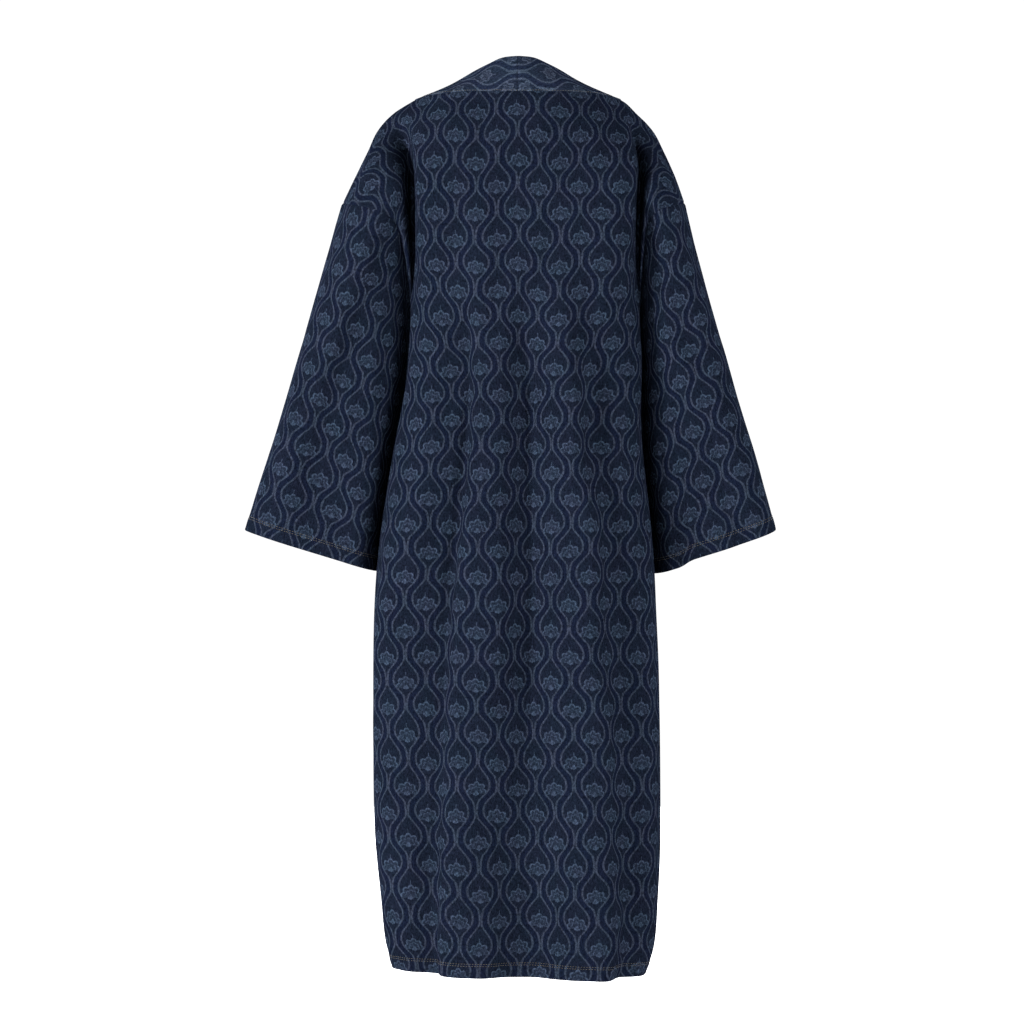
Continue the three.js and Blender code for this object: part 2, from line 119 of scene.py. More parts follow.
# Level sections below the arms: height, half width, reach to the back and to the front,
# distance of the collar seam from the centre, and sway to the left.
SECTIONS = np.array(
    [
        (-1188, 174, 127, 117, 75, -1),
        (-1150, 185, 131, 121, 75, -2),
        (-1090, 191, 131, 121, 75, -1),
        (-1000, 197, 128, 120, 75, 1),
        (-850, 198, 122, 117, 75, 2),
        (-700, 195, 116, 114, 75, 4),
        (-600, 189, 110, 110, 76, 3),
        (-500, 176, 105, 107, 78, 1),
        (-400, 162, 103, 105, 81, 0),
    ],
    float,
)
# Lines across the cloth above the underarm, each with six points: centre, blade, corner,
# valley beside the arm, crest over the arm, and armhole seam.
PLACES = (0, 0.3, CORNER, 0.68, 0.84, 1)
YOKE_Z = (-300, -205, -140, -80, -25)
BACK_YOKE = (
    (
        (0, 104, -300), (78, 100, -300), (130, 76, -300),
        (149, 44, -302), (154, 20, -306), (152, 0, -310),
    ),
    (
        (0, 104, -205), (80, 100, -205), (134, 81, -205),
        (149, 28, -208), (156, 42, -214), (161, 31, -222),
    ),
    (
        (0, 101, -140), (82, 97, -140), (138, 79, -140),
        (151, 22, -145), (162, 56, -152), (172, 55, -163),
    ),
    (
        (0, 95, -80), (82, 91, -80), (141, 72, -78),
        (154, 21, -84), (172, 64, -106), (195, 69, -143),
    ),
    (
        (0, 85, -25), (80, 79, -26), (143, 46, -24),
        (162, 15, -32), (197, 41, -68), (225, 49, -134),
    ),
)
FRONT_YOKE = (
    (
        (86, -103, -300), (112, -96, -300), (135, -72, -300),
        (149, -42, -302), (154, -20, -306), (152, 0, -310),
    ),
    (
        (98, -97, -205), (118, -89, -205), (136, -71, -205),
        (150, -44, -208), (153, -34, -214), (161, -29, -222),
    ),
    (
        (112, -86, -140), (126, -79, -140), (140, -65, -140),
        (153, -36, -145), (161, -41, -152), (172, -52, -163),
    ),
    (
        (125, -68, -82), (134, -62, -82), (146, -51, -82),
        (158, -30, -86), (176, -49, -108), (195, -64, -143),
    ),
    (
        (138, -38, -28), (147, -33, -29), (156, -26, -32),
        (168, -18, -38), (198, -34, -70), (225, -45, -134),
    ),
)
COLLAR_SEAM = ((0, 72, 20), (42, 69, 20.5), (84, 57, 21), (118, 34, 20), (143, 4, 16.5))
SHOULDER_SEAM = (
    (143, 4, 16.5), (174, 1, -3), (196, 0, -27), (210, 0, -56), (226, 0, -89), (244, 0, -127),
)

# Long folds that run down the body: angle from the centre back at the top, middle and hem,
# depth at the middle and hem, half width in degrees on the left and right, and the height
# where they start.
FOLDS = (
    (36, 45, 52, 31, 32, 14, 8, -150),
    (-4, -8, -10, 28, 26, 12, 17, -180),
    (6, 6, 6, 0, 16, 13, 9, -680),
    (-26, -41, -42, -17, -16, 17, 8, -200),
    (-42, -56, -58, 14, 14, 9, 6, -150),
    (76, 82, 86, 2, 4, 4, 4, -420),
    (142, 138, 132, 9, 17, 8, 8, -330),
    (112, 110, 106, 5, 12, 6, 6, -430),
    (-146, -141, -136, 10, 18, 8, 8, -300),
    (-114, -112, -108, 6, 12, 6, 6, -450),
)
FOLD_MIDDLE, FOLD_FADE = -600, 260
FOLD_LEAN = 1.3  # folds move the cloth this much more from back to front than from the sides


def smooth(low, high, value):
    k = np.clip((value - low) / (high - low), 0, 1)
    return k * k * (3 - 2 * k)


def curve(knots, values, at):
    """A smooth curve through values at rising knots, read at each of the knots in at."""
    knots, values, at = (np.asarray(v, float) for v in (knots, values, at))
    last = len(knots) - 1
    low = np.maximum(np.arange(last + 1) - 1, 0)
    high = np.minimum(np.arange(last + 1) + 1, last)
    wide = (-1,) + (1,) * (values.ndim - 1)
    slopes = (values[high] - values[low]) / (knots[high] - knots[low]).reshape(wide)
    i = np.clip(np.searchsorted(knots, at) - 1, 0, last - 1)
    span = (knots[i + 1] - knots[i]).reshape(wide)
    k = (at - knots[i]).reshape(wide) / span
    ease = k * k * (3 - 2 * k)
    bend = slopes[i] * k * (1 - k) ** 2 + slopes[i + 1] * k * k * (k - 1)
    return values[i] * (1 - ease) + values[i + 1] * ease + bend * span


def along(points, k):
    return curve(np.linspace(0, 1, len(points)), points, k)


def section_points(row, face, shares):
    """A level section of the body below the arms, for its left half."""
    z, half, back, front, edge = row[:5]
    first = 0 if face > 0 else math.asin(edge / half)
    angle = first + (math.pi / 2 - first) * shares
    power = 2 / SECTION_POWER[face]
    x = half * np.abs(np.sin(angle)) ** power
    if face < 0:
        start = half * math.sin(first) ** power
        x = x + (edge - start) * (1 - smooth(first, math.pi / 2, angle))
    y = (back if face > 0 else -front) * np.abs(np.cos(angle)) ** power
    return np.stack([x, y, np.full_like(x, z)], -1)


def shoulder_points(face, shares):
    if face < 0:
        return along(SHOULDER_SEAM, shares)
    to_collar = along(COLLAR_SEAM, np.minimum(shares / CORNER, 1))
    to_arm = along(SHOULDER_SEAM, np.maximum((shares - CORNER) / (1 - CORNER), 0))
    return np.where((shares <= CORNER)[:, None], to_collar, to_arm)


def cut_points(face, shares, levels):
    """Points of the left half of the body before its folds."""
    yoke = BACK_YOKE if face > 0 else FRONT_YOKE
    lines = [section_points(row, face, shares) for row in SECTIONS]
    lines += [curve(PLACES, row, shares) for row in yoke]
    lines.append(shoulder_points(face, shares))
    heights = np.concatenate([SECTIONS[:, 0], YOKE_Z, [SHOULDER]])
    points = curve(heights, np.array(lines), levels)
    one = np.ones(1)
    side_seam = [section_points(row, 1, one)[0] for row in SECTIONS] + [yoke[0][-1]]
    ends = side_seam + [row[-1] for row in yoke[1:]] + [SHOULDER_SEAM[-1]]
    shift = curve(heights[: len(side_seam)], side_seam, levels) - curve(heights, ends, levels)
    shift[levels > CHEST] = 0
    return points + shift[:, None, :] * smooth(CORNER, 1, shares)[None, :, None]


def fold_depth(x, y, z):
    angle = np.degrees(np.arctan2(x, y))
    down = np.clip((FOLD_MIDDLE - z) / (FOLD_MIDDLE - HEM), 0, 1)
    depth = np.zeros_like(angle)
    for top, middle, hem, shallow, deep, left, right, start in FOLDS:
        upper = np.clip((start - z) / (start - FOLD_MIDDLE), 0, 1)
        centre = np.where(
            z > FOLD_MIDDLE, top + (middle - top) * upper, middle + (hem - middle) * down
        )
        full = (shallow + (deep - shallow) * down) * smooth(start, start - FOLD_FADE, z)
        width = np.where(angle > centre, left, right)
        depth += full * np.exp(-(((angle - centre) / width) ** 2))
    return depth


def settle(points):
    """The robe doesn't hang evenly: it sways below, and its creases and wrists differ."""
    x, y, z = np.moveaxis(points, -1, 0)
    heights, sway = SECTIONS[:, 0], SECTIONS[:, 5]
    left = curve(heights, sway, np.minimum(z, heights[-1]).ravel()).reshape(z.shape)
    left = left * smooth(*UPPER[::-1], z)
    near = np.exp(-(((np.abs(x) - VALLEY) / VALLEY_REACH) ** 2))
    upper = smooth(*UPPER, z)
    shift = np.where(x < 0, CREASE_SHIFT["right"], CREASE_SHIFT["left"])
    shift = shift * upper * smooth(-5, -95, z)
    shoulder = RIGHT_IN["shoulder"] * upper
    closer = shoulder * smooth(145, 178, -x)
    closer = closer + (RIGHT_IN["sleeve"] - shoulder) * smooth(222, 265, -x)
    tilt = HEM_TILT * x * smooth(-800, HEM, z)
    return np.stack([x + np.sign(x) * (shift * near - closer) + left, y, z + tilt], -1)


def hanging_points(face, side, shares, levels):
    """Points of the body's cloth with its folds. side is 1 for the wearer's left, else -1."""
    x, y, z = np.moveaxis(cut_points(face, shares, levels), -1, 0)
    calm = 1 - smooth(0.9, 1, shares)
    if face < 0:
        calm = calm * smooth(0, 0.12, shares)
    depth = fold_depth(side * x, y, z) * calm[None, :]
    length = np.maximum(np.hypot(x, y * FOLD_LEAN), 1)
    folded_y = y - depth * y * FOLD_LEAN / length
    return np.stack([side * (x - depth * x / length), folded_y, z], -1)


# Steps of a grid beside a seam or a hem, as distances from it.
SEAM_STEPS = np.array([0, 0.6, 1.3, 2.3, 3.6, 5.4])
HEM_STEPS = np.array([0, 0.3, 0.9, 1.8, 3.2, 5, 7.5, 10, 12.5, 15, 16.8, 18.4, 20, 21.6, 24])


def steps(width, count, near=SEAM_STEPS, far=SEAM_STEPS):
    """Shares from 0 to 1 over a width, with fine steps at either end."""
    middle = np.linspace(near[-1], width - far[-1], count)
    return np.concatenate([near[:-1], middle, (width - far[:-1])[::-1]]) / width


LEVELS = HEM + (SHOULDER - HEM) * steps(SHOULDER - HEM, 225, near=HEM_STEPS)
PANEL_SHARES = steps(270, 76, near=np.zeros(1))


def run(points, axis):
    """How far each point of a grid lies along its line, measured over the cloth."""
    gaps = np.linalg.norm(np.diff(points, axis=axis), axis=-1)
    start = np.zeros_like(np.take(gaps, [0], axis=axis))
    return np.cumsum(np.concatenate([start, gaps], axis=axis), axis=axis)


def outward(points, core):
    """Unit normals of a grid of points, turned away from its core."""
    rows, columns = np.gradient(points, axis=0), np.gradient(points, axis=1)
    normals = np.cross(columns, rows)
    normals /= np.maximum(np.linalg.norm(normals, axis=-1, keepdims=True), 1e-9)
    return normals * np.sign(((points - core) * normals).sum())


# Long slow waves that keep large areas of cloth from looking pressed flat:
# wavelength across and along in millimetres, slant and height.
WAVES = (
    (61, 410, 0.2, 0.55),
    (97, 260, -0.35, 0.7),
    (43, 190, 0.5, 0.28),
    (34, 330, -0.15, 0.22),
    (148, 520, 0.4, 0.9),
    (27, 120, 0.7, 0.12),
)


def waves(u, v, seed):
    phases = np.random.default_rng(seed).uniform(0, 2 * math.pi, len(WAVES))
    height = np.zeros_like(u)
    for (across, down, slant, rise), phase in zip(WAVES, phases):
        height += rise * np.sin(2 * math.pi * ((u + slant * v * 0.2) / across + v / down) + phase)
    return height


def creases(points, rows):
    """Height of the listed creases: ends in x and z, depth inwards and half width."""
    x, z = points[..., 0], points[..., 2]
    height = np.zeros_like(x)
    for x0, z0, x1, z1, depth, width in rows:
        dx, dz = x1 - x0, z1 - z0
        length = math.hypot(dx, dz)
        t = ((x - x0) * dx + (z - z0) * dz) / length**2
        off = ((x - x0) * dz - (z - z0) * dx) / length
        taper = np.sin(math.pi * np.clip(t, 0, 1)) ** 0.7
        height -= depth * taper * np.exp(-((off / width) ** 2))
    return height


def seam_dip(distance, depth=1.1, width=2.0):
    """The cloth's surface sinks a little along a seam."""
    return -depth * np.exp(-((distance / width) ** 2))


# The turned-up hem's puckers: wavelengths along it in millimetres.
PUCKERS = (11.3, 17.9, 26.1, 7.7)
PUCKER_RISE = 0.16
HEM_MIDDLE, HEM_DIP = 12, 19  # heights where it puckers most, and where it dips


def hem_relief(around, height, seed):
    """The turned-up hem: puckered between its stitches, with a dip along its inner edge."""
    phases = np.random.default_rng(seed).uniform(0, 2 * math.pi, len(PUCKERS))
    puckers = sum(
        PUCKER_RISE * np.sin(2 * math.pi * around / length + phase)
        for length, phase in zip(PUCKERS, phases)
    )
    between = np.exp(-(((height - HEM_MIDDLE) / 9) ** 2))
    return puckers * between + seam_dip(height - HEM_DIP, 0.5, 1.6)


EDGE_SHARE = 0.02  # the least thickness of a rounded edge, as a share of the cloth's


def cloth_piece(name, points, cut, core, node, thickness, weights, materials, closed=False):
    """A piece of cloth: points and cut are grids of its places in space and on the cut.

    Its outer face looks away from core, and weights give its thickness as shares. A closed
    piece is a tube whose first and last columns meet.
    """
    rows, columns = points.shape[:2]
    bm = bmesh.new()
    bmesh.ops.create_grid(bm, x_segments=columns - 1, y_segments=rows - 1, size=0.5)
    mesh = bpy.data.meshes.new(name)
    bm.to_mesh(mesh)
    bm.free()
    flat = np.empty(len(mesh.vertices) * 3)
    mesh.vertices.foreach_get("co", flat)
    flat = flat.reshape(-1, 3) + 0.5
    column = np.rint(flat[:, 0] * (columns - 1)).astype(int)
    row = np.rint(flat[:, 1] * (rows - 1)).astype(int)
    mesh.vertices.foreach_set("co", (points[row, column] * MM).ravel())
    corners = np.empty(len(mesh.loops), int)
    mesh.loops.foreach_get("vertex_index", corners)
    uv = mesh.uv_layers.new(name="cloth")
    uv.data.foreach_set("uv", (cut[row, column][corners] * MM).ravel())
    mesh.polygons.foreach_set("use_smooth", np.ones(len(mesh.polygons), bool))
    mesh.update()
    normals = np.empty(len(mesh.vertices) * 3)
    mesh.vertices.foreach_get("normal", normals)
    away = (points - core)[row, column].ravel()
    if (normals * away).sum() < 0:
        mesh.flip_normals()
    piece = bpy.data.objects.new(name, mesh)
    bpy.context.collection.objects.link(piece)
    group = piece.vertex_groups.new(name="thickness")
    weight = np.round(weights[row, column], 2)
    for value in np.unique(weight):
        group.add(np.nonzero(weight == value)[0].tolist(), float(value), "REPLACE")
    if closed:
        bm = bmesh.new()
        bm.from_mesh(mesh)
        bmesh.ops.remove_doubles(bm, verts=bm.verts, dist=1e-6)
        bm.to_mesh(mesh)
        bm.free()
    for material in materials:
        mesh.materials.append(material)
    wall = piece.modifiers.new("wall", "SOLIDIFY")
    wall.thickness = thickness * MM
    wall.offset = 0
    wall.vertex_group = "thickness"
    wall.thickness_vertex_group = EDGE_SHARE
    wall.material_offset = 1
    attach(piece, "root")
    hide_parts(node)
    return piece


def new_material(name):
    """A material with its node tree and its Principled shader."""
    material = bpy.data.materials.new(name)
    material.use_nodes = True
    return material, material.node_tree, material.node_tree.nodes["Principled BSDF"]


def maths(tree, operation, *values):
    """A Math node; values are numbers or the outputs of other nodes."""
    node = tree.nodes.new("ShaderNodeMath")
    node.operation = operation
    for socket, value in zip(node.inputs, values):
        if isinstance(value, (int, float)):
            socket.default_value = value
        else:
            tree.links.new(value, socket)
    return node.outputs[0]


def ramp(tree, value, low, high, start=0.0, end=1.0):
    """start where value is at most low, end where it is at least high, eased between."""
    node = tree.nodes.new("ShaderNodeMapRange")
    node.interpolation_type = "SMOOTHSTEP"
    tree.links.new(value, node.inputs["Value"])
    for name, number in zip(("From Min", "From Max", "To Min", "To Max"), (low, high, start, end)):
        node.inputs[name].default_value = number
    return node.outputs["Result"]


def blend_colour(tree, factor, first, second, kind="MIX"):
    node = tree.nodes.new("ShaderNodeMix")
    node.data_type = "RGBA"
    node.blend_type = kind
    for name, value in (("Factor_Float", factor), ("A_Color", first), ("B_Color", second)):
        socket = next(s for s in node.inputs if s.identifier == name)
        if isinstance(value, (int, float, tuple)):
            socket.default_value = value
        else:
            tree.links.new(value, socket)
    return next(s for s in node.outputs if s.identifier == "Result_Color")


def noise(tree, vector, scale, detail, roughness=0.5):
    node = tree.nodes.new("ShaderNodeTexNoise")
    tree.links.new(vector, node.inputs["Vector"])
    node.inputs["Scale"].default_value = scale
    node.inputs["Detail"].default_value = detail
    node.inputs["Roughness"].default_value = roughness
    return node.outputs["Fac"]


def cloth_place(tree):
    """The place on the cut, across and down the cloth, in metres."""
    place = tree.nodes.new("ShaderNodeUVMap")
    place.uv_map = "cloth"
    split = tree.nodes.new("ShaderNodeSeparateXYZ")
    tree.links.new(place.outputs["UV"], split.inputs["Vector"])
    return split.outputs["X"], split.outputs["Y"]


def rough_cloth(tree, shader, colour, relief, strength, height):
    """Matt cloth with a colour and a relief, whose height is in metres."""
    tree.links.new(colour, shader.inputs["Base Color"])
    bump = tree.nodes.new("ShaderNodeBump")
    bump.inputs["Strength"].default_value = strength
    bump.inputs["Distance"].default_value = height
    tree.links.new(relief, bump.inputs["Height"])
    tree.links.new(bump.outputs["Normal"], shader.inputs["Normal"])
    shader.inputs["Roughness"].default_value = 0.9
    shader.inputs["Specular IOR Level"].default_value = 0.0


def stretched(tree, u, v, across, down):
    """Cloth coordinates scaled on their own axes."""
    node = tree.nodes.new("ShaderNodeCombineXYZ")
    tree.links.new(maths(tree, "MULTIPLY", u, across), node.inputs["X"])
    tree.links.new(maths(tree, "MULTIPLY", v, down), node.inputs["Y"])
    return node.outputs["Vector"]


# The figure: columns of pointed cells, each column half a repeat below the next.
COLUMN = 28.5  # from one column's middle to the next
REPEAT = 71.5  # from one cell's tip to the next in a column
CELL_HALF = 17.6
# A cell's half width as a share of CELL_HALF, down from the neck above it.
CELL_SHAPE = (
    (0, 0.1), (0.15, 0.1), (0.22, 0.24), (0.28, 0.42), (0.34, 0.62), (0.41, 0.82), (0.48, 0.96),
    (0.54, 1.0), (0.61, 0.98), (0.68, 0.86), (0.75, 0.66), (0.82, 0.42), (0.89, 0.2), (1, 0.1),
)
WANDER_ACROSS, WANDER_DOWN = 13.0, 14.0  # how far the weave strays from an even layout
FAN_BASE = 0.7  # where the fan of petals starts, as a share of the repeat
FAN_RADIUS = 13.4
PETALS = 8  # they go all round, and those below are shorter
NOTCH = 0.24  # the depth of the notches between petals, as a share of the radius
INNER_LINE = 0.58  # its place between the fan's base and its rim
STEM_PLACE = 17.5  # the middle of the stem above the fan
TWILL_PITCH, TWILL_SLANT = 1.1, 0.6


def cell_layout(tree, u, v):
    """The cells' outline and inside, and the place in the nearest cell from its fan's base."""
    stray = noise(tree, stretched(tree, u, v, 0.012, 0.009), 1.0, 1.0)
    stray = maths(tree, "SUBTRACT", stray, 0.5)
    u_cell = maths(tree, "ADD", u, maths(tree, "MULTIPLY", stray, WANDER_ACROSS))
    even = maths(tree, "PINGPONG", u_cell, COLUMN)
    odd = maths(tree, "SUBTRACT", COLUMN, even)
    sag = noise(tree, stretched(tree, v, u, 0.008, 0.013), 1.0, 1.0)
    sag = maths(tree, "SUBTRACT", sag, 0.5)
    v_cell = maths(tree, "ADD", v, maths(tree, "MULTIPLY", sag, WANDER_DOWN))
    down = maths(tree, "DIVIDE", v_cell, -REPEAT)
    depths = [maths(tree, "FRACT", down), maths(tree, "FRACT", maths(tree, "ADD", down, 0.5))]
    edges = []
    for off, depth in zip((even, odd), depths):
        shape = tree.nodes.new("ShaderNodeFloatCurve")
        points = shape.mapping.curves[0].points
        points[0].location, points[-1].location = CELL_SHAPE[0], CELL_SHAPE[-1]
        for at, half in CELL_SHAPE[1:-1]:
            points.new(at, half)
        shape.mapping.update()
        tree.links.new(depth, shape.inputs["Value"])
        half = maths(tree, "MULTIPLY", shape.outputs["Value"], CELL_HALF)
        edges.append(maths(tree, "SUBTRACT", off, half))
    nearest = maths(tree, "MINIMUM", *(maths(tree, "ABSOLUTE", edge) for edge in edges))
    outline = ramp(tree, nearest, 0.6, 2.1, 1.0, 0.0)
    inside = ramp(tree, maths(tree, "MINIMUM", *edges), -0.8, 0.4, 1.0, 0.0)
    in_even = maths(tree, "LESS_THAN", *edges)
    x = maths(tree, "MULTIPLY_ADD", in_even, maths(tree, "SUBTRACT", even, odd), odd)
    depth = maths(tree, "MULTIPLY_ADD", in_even, maths(tree, "SUBTRACT", *depths), depths[1])
    y = maths(tree, "MULTIPLY", maths(tree, "SUBTRACT", FAN_BASE, depth), REPEAT)
    return outline, inside, x, y


def petal_fan(tree, x, y):
    """A fan of petals with a rim, an inner line, an eye and a short stem above it."""
    squares = [maths(tree, "POWER", value, 2.0) for value in (x, y)]
    radius = maths(tree, "SQRT", maths(tree, "ADD", *squares))
    turn = maths(tree, "ARCTAN2", x, y)
    scallop = maths(tree, "COSINE", maths(tree, "MULTIPLY", turn, PETALS / 2))
    scallop = maths(tree, "ABSOLUTE", scallop)
    reach = maths(tree, "MULTIPLY_ADD", scallop, NOTCH * FAN_RADIUS, (1 - NOTCH) * FAN_RADIUS)
    reach = maths(tree, "MULTIPLY", reach, ramp(tree, turn, 1.75, 2.0, 1.0, 0.3))
    past = maths(tree, "SUBTRACT", radius, reach)
    rim = ramp(tree, maths(tree, "ABSOLUTE", past), 0.6, 1.8, 1.0, 0.0)
    inner = maths(tree, "SUBTRACT", radius, maths(tree, "MULTIPLY", reach, INNER_LINE))
    inner = ramp(tree, maths(tree, "ABSOLUTE", inner), 0.4, 1.3, 0.75, 0.0)
    eye = ramp(tree, radius, 1.6, 2.5, 1.0, 0.0)
    along_stem = maths(tree, "ABSOLUTE", maths(tree, "SUBTRACT", y, STEM_PLACE))
    stem = ramp(tree, along_stem, 1.8, 3.0, 1.0, 0.0)
    stem = maths(tree, "MULTIPLY", ramp(tree, x, 0.3, 0.9, 0.8, 0.0), stem)
    motif = ramp(tree, past, -0.6, 0.6, 0.25, 0.0)
    for part in (rim, inner, eye, stem):
        motif = maths(tree, "MAXIMUM", motif, part)
    return motif


def figured_denim(name, band, cell, line, petal):
    """Denim with a figure of pointed cells, each with a fan of petals, woven into it."""
    material, tree, shader = new_material(name)
    u, v = (maths(tree, "MULTIPLY", place, 1000.0) for place in cloth_place(tree))
    outline, inside, x, y = cell_layout(tree, u, v)
    motif = maths(tree, "MULTIPLY", petal_fan(tree, x, y), inside)

    # Uneven dye: on single threads, on thick stretches of yarn, and over whole areas.
    threads = noise(tree, stretched(tree, u, v, 0.5, 0.26), 1.0, 3.0, 0.75)
    slubs = noise(tree, stretched(tree, u, v, 0.32, 0.09), 1.0, 3.0, 0.6)
    fade = noise(tree, stretched(tree, u, v, 0.02, 0.008), 1.0, 3.0)
    colour = blend_colour(tree, inside, band, cell)
    drawn = maths(tree, "MULTIPLY", outline, ramp(tree, threads, 0.2, 0.6, 0.55, 0.95))
    colour = blend_colour(tree, drawn, colour, line)
    drawn = maths(tree, "MULTIPLY", motif, ramp(tree, threads, 0.2, 0.6, 0.6, 1.0))
    colour = blend_colour(tree, drawn, colour, petal)
    mottle = ramp(tree, threads, 0.3, 0.7, 0.5, 1.5)
    mottle = maths(tree, "ADD", mottle, ramp(tree, slubs, 0.25, 0.75, -0.18, 0.18))
    mottle = maths(tree, "ADD", mottle, ramp(tree, fade, 0.3, 0.7, -0.07, 0.07))
    grey = tree.nodes.new("ShaderNodeCombineColor")
    for socket in grey.inputs:
        tree.links.new(mottle, socket)
    colour = blend_colour(tree, 1.0, colour, grey.outputs["Color"], "MULTIPLY")
    hue = ramp(tree, noise(tree, stretched(tree, u, v, 0.045, 0.03), 1.0, 2.0, 0.6), 0.35, 0.65)
    tint = blend_colour(tree, hue, WARM_TINT, COOL_TINT)
    colour = blend_colour(tree, 1.0, colour, tint, "MULTIPLY")

    slant = maths(tree, "MULTIPLY_ADD", v, TWILL_SLANT, u)
    twill = maths(tree, "SINE", maths(tree, "MULTIPLY", slant, 2 * math.pi / TWILL_PITCH))
    relief = maths(tree, "MULTIPLY_ADD", twill, 0.25, threads)
    raised = maths(tree, "MULTIPLY", maths(tree, "ADD", outline, motif), 0.3)
    relief = maths(tree, "ADD", relief, raised)
    rough_cloth(tree, shader, colour, relief, 0.5, 0.0004)
    return material


def plain_reverse(name, colour):
    """The wrong side of the denim, paler and without the figure."""
    material, tree, shader = new_material(name)
    u, v = cloth_place(tree)
    threads = noise(tree, stretched(tree, u, v, 1500, 450), 1.0, 3.0, 0.6)
    dark = tuple(0.6 * c for c in colour[:3]) + (1,)
    mixed = blend_colour(tree, ramp(tree, threads, 0.3, 0.7), dark, colour)
    rough_cloth(tree, shader, mixed, threads, 0.4, 0.0003)
    return material


WARM_TINT = (1.05, 0.99, 1.01, 1)
COOL_TINT = (0.95, 1.01, 0.99, 1)
BAND_BLUE = (0.0023, 0.0035, 0.0082, 1)
CELL_BLUE = (0.0028, 0.0041, 0.0080, 1)
LINE_BLUE = (0.0114, 0.0150, 0.0238, 1)
PETAL_BLUE = (0.0126, 0.0184, 0.0305, 1)
REVERSE_BLUE = (0.0067, 0.0102, 0.0199, 1)
denim = figured_denim("figured_denim", BAND_BLUE, CELL_BLUE, LINE_BLUE, PETAL_BLUE)
reverse = plain_reverse("denim_reverse", REVERSE_BLUE)

# Small creases of the back: ends in x and z, depth inwards and half width.
BACK_CREASES = (
    (52, 16, 46, -110, 1.8, 9),
    (92, -40, 74, -230, 1.2, 12),
    (-92, -30, -84, -180, 1.0, 14),
    (-40, -10, -30, -120, 0.8, 10),
    (20, -40, 6, -220, 0.8, 13),
    (130, -330, 160, -620, 3.0, 12),
    (-135, -330, -168, -640, 3.2, 12),
    (66, -790, 48, -1010, 2.6, 16),
    (-74, -740, -58, -980, 2.4, 17),
    (32, -930, 10, -1150, 4.2, 17),
    (146, -880, 116, -1100, 3.6, 14),
    (-96, -860, -142, -1090, 3.4, 14),
    (-6, -540, 16, -740, 2.4, 13),
    (104, -470, 128, -700, 2.8, 14),
    (-98, -410, -78, -620, 2.4, 14),
    (72, -250, 96, -430, 1.8, 14),
    (-20, -1040, -46, -1170, 2.4, 13),
)
CLOTH = 1.5  # the cloth's own thickness
FOLDED = 2.8  # its thickness where it is turned up
EDGE_ROUND = 1.8  # an edge is rounded over this height
HEM_TURN = 21  # a hem is turned up this far


def rounding(distance, reach, least):
    """A rounded edge's thickness at a distance from it, as a share of the whole."""
    near = np.minimum(distance, reach) / reach
    return np.maximum(np.sqrt(np.clip(1 - (1 - near) ** 2, 0, 1)), least)


def edge_weights(height):
    """The cloth's thickness at a height above its hem, as a share of the hem's."""
    plain = CLOTH / FOLDED
    turned = 1 - smooth(HEM_TURN - 1.6, HEM_TURN + 1.6, height)
    return (plain + (1 - plain) * turned) * rounding(height, EDGE_ROUND, 0.12)


def centre_line(points):
    return points * (0, 0, 1)


def finished(points, core, relief):
    """The points moved out from the core by the relief."""
    return points + outward(points, core) * relief[..., None]


def body_panel(face, side, shares, crease_rows, seed):
    """A grid of a body panel with its fine relief, its cut, its height above the hem and
    the line that it hangs round. side is 0 for a panel that covers both sides."""
    if side == 0:
        right = hanging_points(face, -1, shares, LEVELS)[:, :0:-1]
        points = np.concatenate([right, hanging_points(face, 1, shares, LEVELS)], axis=1)
        middle = len(shares) - 1
    else:
        points = hanging_points(face, side, shares, LEVELS)
        middle = 0
    points = settle(points)
    across, up = run(points, 1), run(points, 0)
    waist = int(np.argmin(np.abs(LEVELS - FOLD_MIDDLE)))
    cut = np.stack([across - across[:, middle : middle + 1], up - up[waist]], -1)
    to_sides = across[:, -1:] - across
    if side == 0:
        to_sides = np.minimum(to_sides, across)
    to_collar = across if side else np.full_like(across, np.inf)
    to_top = up[-1] - up
    relief = waves(cut[..., 0], cut[..., 1], seed) * smooth(4, 60, to_sides)
    relief = relief * smooth(6, 70, to_top) + creases(points, crease_rows)
    relief = relief + hem_relief(cut[..., 0], up, seed)
    for distance in (to_sides, to_collar, to_top):
        relief = relief + seam_dip(distance)
    core = centre_line(points)
    return finished(points, core, relief), cut, up, core


back_points, cut, up, core = body_panel(1, 0, PANEL_SHARES, BACK_CREASES, 11)
back = cloth_piece(
    "back_panel", back_points, cut, core, "back", FOLDED, edge_weights(up),
    (denim, reverse),
)

# ---- The fronts ----
# Two panels of the same denim, each from the shoulder seam to the hem, between the collar
# seam and the side seam.
FRONT_CREASES = {
    1: (
        (150, -120, 120, -330, 1.6, 10),
        (118, -420, 126, -700, 1.6, 12),
        (160, -700, 150, -980, 1.4, 12),
    ),
    -1: (
        (-152, -110, -124, -350, 1.8, 10),
        (-120, -460, -130, -760, 1.6, 12),
        (-158, -640, -150, -960, 1.4, 13),
    ),
}
FRONT_SHARES = steps(190, 50)
FRONT_START = 75  # the fronts' figure starts this far from the back's middle column
fronts, front_points = {}, {}
for word, side in (("left", 1), ("right", -1)):
    points, cut, up, core = body_panel(-1, side, FRONT_SHARES, FRONT_CREASES[side], 20 + side)
    cut = cut + np.array([FRONT_START, 0])
    fronts[word] = cloth_piece(
        f"front_panel_{word}", points, cut, core, f"front_{word}", FOLDED,
        edge_weights(up), (denim, reverse),
    )
    front_points[word] = points

